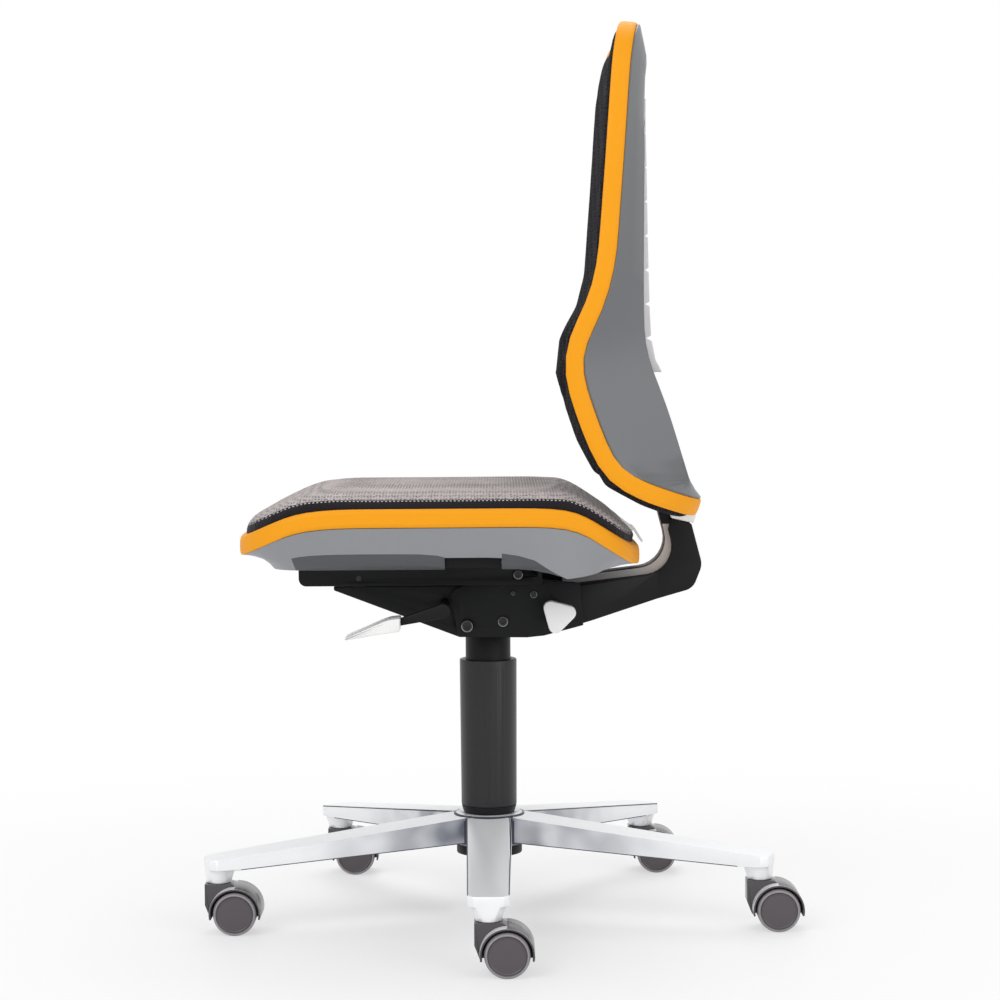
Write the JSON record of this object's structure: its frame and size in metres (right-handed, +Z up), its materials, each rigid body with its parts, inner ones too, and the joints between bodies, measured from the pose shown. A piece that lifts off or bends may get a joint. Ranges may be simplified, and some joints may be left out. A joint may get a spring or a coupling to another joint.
{
  "type": "swivel chair",
  "caption": "Height-adjustable swivel chair with padded seat and backrest, tilt mechanism and a star base on twin-wheel castors.",
  "frame": {"origin": "on the floor under the column's axis", "axes": "+Z up, the chair faces -Y, +X to the sitter's left"},
  "size_m": [0.655, 0.696, 1.0438],
  "materials": {
    "base_metal": "polished",
    "sleeve": "fine matt",
    "lift_black": "satin",
    "lift_steel": "polished",
    "bush": "smooth",
    "button": "gloss",
    "castor_plastic": "satin",
    "wheel": "matt tread",
    "castor_steel": "plain",
    "mechanism": "black powder coat",
    "bolt": "blackened",
    "spring": "oiled",
    "lever_white": "gloss",
    "arm": "satin",
    "board": "bare plywood",
    "shell_grey": "satin",
    "shell_light": "satin",
    "band": "satin",
    "seat_fabric": "spacer mesh",
    "back_fabric": "spacer mesh",
    "strap": "flat webbing"
  },
  "bodies": {
    "base": {"star_base": "base_metal", "hub_caps": "sleeve", "lower_sleeve": "sleeve", "lift_tube": "lift_black", "lift_bush": "bush", "thrust_bearing": "lift_steel"},
    "rod": {"lift_rod": "lift_steel", "lift_clip": "lift_steel"},
    "mechanism": {"lift_cylinder": "lift_black", "upper_sleeve": "sleeve", "mechanism_housing": "mechanism", "pivot_bolts": "bolt", "tilt_spring": "spring"},
    "button": {"release_button": "button"},
    "height_lever": {"height_lever": "mechanism", "height_paddle": "lever_white"},
    "back_arm": {"side_plates": "mechanism", "plate_fasteners": "bolt", "back_arm": "arm", "arm_collar": "lever_white"},
    "tilt_lever": {"tilt_lever": "lever_white"},
    "seat_carrier": {"seat_carrier": "mechanism"},
    "seat": {"seat_slide": "mechanism", "seat_board": "board", "seat_shell": "shell_light", "seat_band": "band", "seat_cushion": "seat_fabric", "pull_loop": "strap"},
    "depth_button": {"depth_button": "mechanism"},
    "backrest": {"back_board": "board", "back_guide": "mechanism", "back_shell": "shell_grey", "back_panel": "shell_light", "back_band": "band", "back_cushion": "back_fabric"},
    "castor_1": {"castor_1_housing": "castor_plastic", "castor_1_stem": "castor_steel", "castor_1_axle": "castor_steel"},
    "castor_1_wheel_left": {"castor_1_wheel_left": "wheel"},
    "castor_1_wheel_right": {"castor_1_wheel_right": "wheel"},
    "castor_2": {"castor_2_housing": "castor_plastic", "castor_2_stem": "castor_steel", "castor_2_axle": "castor_steel"},
    "castor_2_wheel_left": {"castor_2_wheel_left": "wheel"},
    "castor_2_wheel_right": {"castor_2_wheel_right": "wheel"},
    "castor_3": {"castor_3_housing": "castor_plastic", "castor_3_stem": "castor_steel", "castor_3_axle": "castor_steel"},
    "castor_3_wheel_left": {"castor_3_wheel_left": "wheel"},
    "castor_3_wheel_right": {"castor_3_wheel_right": "wheel"},
    "castor_4": {"castor_4_housing": "castor_plastic", "castor_4_stem": "castor_steel", "castor_4_axle": "castor_steel"},
    "castor_4_wheel_left": {"castor_4_wheel_left": "wheel"},
    "castor_4_wheel_right": {"castor_4_wheel_right": "wheel"},
    "castor_5": {"castor_5_housing": "castor_plastic", "castor_5_stem": "castor_steel", "castor_5_axle": "castor_steel"},
    "castor_5_wheel_left": {"castor_5_wheel_left": "wheel"},
    "castor_5_wheel_right": {"castor_5_wheel_right": "wheel"}
  },
  "joints": [
    {"name": "seat_swivel", "type": "hinge", "parent": "base", "child": "rod", "pos_m": [0, 0, 0], "axis": [0, 0, 1], "continuous": true},
    {"name": "seat_lift", "type": "slide", "parent": "rod", "child": "mechanism", "axis": [0, 0, 1], "range_m": [-0.02, 0.11]},
    {"name": "button_press", "type": "slide", "parent": "mechanism", "child": "button", "axis": [0, 0, -1], "range_m": [0, 0.0058]},
    {"name": "height_lever_lift", "type": "hinge", "parent": "mechanism", "child": "height_lever", "pos_m": [0, -0.05, 0.378], "axis": [-1, 0, 0], "range_deg": [0, 6], "stiffness_Nm_per_rad": 6, "springref_deg": -2.86},
    {"name": "recline", "type": "hinge", "parent": "mechanism", "child": "back_arm", "pos_m": [0, -0.024, 0.351], "axis": [-1, 0, 0], "range_deg": [0, 20], "stiffness_Nm_per_rad": 120, "springref_deg": -14.32},
    {"name": "tilt_lock", "type": "hinge", "parent": "back_arm", "child": "tilt_lever", "pos_m": [0.09, 0.082, 0.366], "axis": [1, 0, 0], "range_deg": [0, 25]},
    {"name": "seat_tilt", "type": "hinge", "parent": "mechanism", "child": "seat_carrier", "pos_m": [0, -0.15, 0.408], "axis": [-1, 0, 0], "range_deg": [0, 7.5]},
    {"name": "seat_depth", "type": "slide", "parent": "seat_carrier", "child": "seat", "axis": [0, -1, 0], "range_m": [0, 0.05]},
    {"name": "depth_button_press", "type": "slide", "parent": "seat", "child": "depth_button", "axis": [-1, 0, 0], "range_m": [0, 0.004], "stiffness_N_per_m": 1500, "springref_m": -0.001},
    {"name": "back_height", "type": "slide", "parent": "back_arm", "child": "backrest", "axis": [0, -0.249, 0.9685], "range_m": [0, 0.06]},
    {"name": "castor_1_swivel", "type": "hinge", "parent": "base", "child": "castor_1", "pos_m": [0.33, 0, 0], "axis": [0, 0, 1], "continuous": true},
    {"name": "castor_1_roll_left", "type": "hinge", "parent": "castor_1", "child": "castor_1_wheel_left", "pos_m": [0.33, 0.02, 0.025], "axis": [1, 0, 0], "continuous": true},
    {"name": "castor_1_roll_right", "type": "hinge", "parent": "castor_1", "child": "castor_1_wheel_right", "pos_m": [0.33, 0.02, 0.025], "axis": [1, 0, 0], "continuous": true},
    {"name": "castor_2_swivel", "type": "hinge", "parent": "base", "child": "castor_2", "pos_m": [0.10198, 0.31385, 0], "axis": [0, 0, 1], "continuous": true},
    {"name": "castor_2_roll_left", "type": "hinge", "parent": "castor_2", "child": "castor_2_wheel_left", "pos_m": [0.10198, 0.33385, 0.025], "axis": [1, 0, 0], "continuous": true},
    {"name": "castor_2_roll_right", "type": "hinge", "parent": "castor_2", "child": "castor_2_wheel_right", "pos_m": [0.10198, 0.33385, 0.025], "axis": [1, 0, 0], "continuous": true},
    {"name": "castor_3_swivel", "type": "hinge", "parent": "base", "child": "castor_3", "pos_m": [-0.26698, 0.19397, 0], "axis": [0, 0, 1], "continuous": true},
    {"name": "castor_3_roll_left", "type": "hinge", "parent": "castor_3", "child": "castor_3_wheel_left", "pos_m": [-0.26698, 0.21397, 0.025], "axis": [1, 0, 0], "continuous": true},
    {"name": "castor_3_roll_right", "type": "hinge", "parent": "castor_3", "child": "castor_3_wheel_right", "pos_m": [-0.26698, 0.21397, 0.025], "axis": [1, 0, 0], "continuous": true},
    {"name": "castor_4_swivel", "type": "hinge", "parent": "base", "child": "castor_4", "pos_m": [-0.26698, -0.19397, 0], "axis": [0, 0, 1], "continuous": true},
    {"name": "castor_4_roll_left", "type": "hinge", "parent": "castor_4", "child": "castor_4_wheel_left", "pos_m": [-0.26698, -0.17397, 0.025], "axis": [1, 0, 0], "continuous": true},
    {"name": "castor_4_roll_right", "type": "hinge", "parent": "castor_4", "child": "castor_4_wheel_right", "pos_m": [-0.26698, -0.17397, 0.025], "axis": [1, 0, 0], "continuous": true},
    {"name": "castor_5_swivel", "type": "hinge", "parent": "base", "child": "castor_5", "pos_m": [0.10198, -0.31385, 0], "axis": [0, 0, 1], "continuous": true},
    {"name": "castor_5_roll_left", "type": "hinge", "parent": "castor_5", "child": "castor_5_wheel_left", "pos_m": [0.10198, -0.29385, 0.025], "axis": [1, 0, 0], "continuous": true},
    {"name": "castor_5_roll_right", "type": "hinge", "parent": "castor_5", "child": "castor_5_wheel_right", "pos_m": [0.10198, -0.29385, 0.025], "axis": [1, 0, 0], "continuous": true}
  ],
  "couplings": [
    {"joint": "button_press", "follows": "height_lever_lift", "m_per_rad": 0.054},
    {"joint": "seat_tilt", "follows": "recline", "ratio": 0.37}
  ]
}
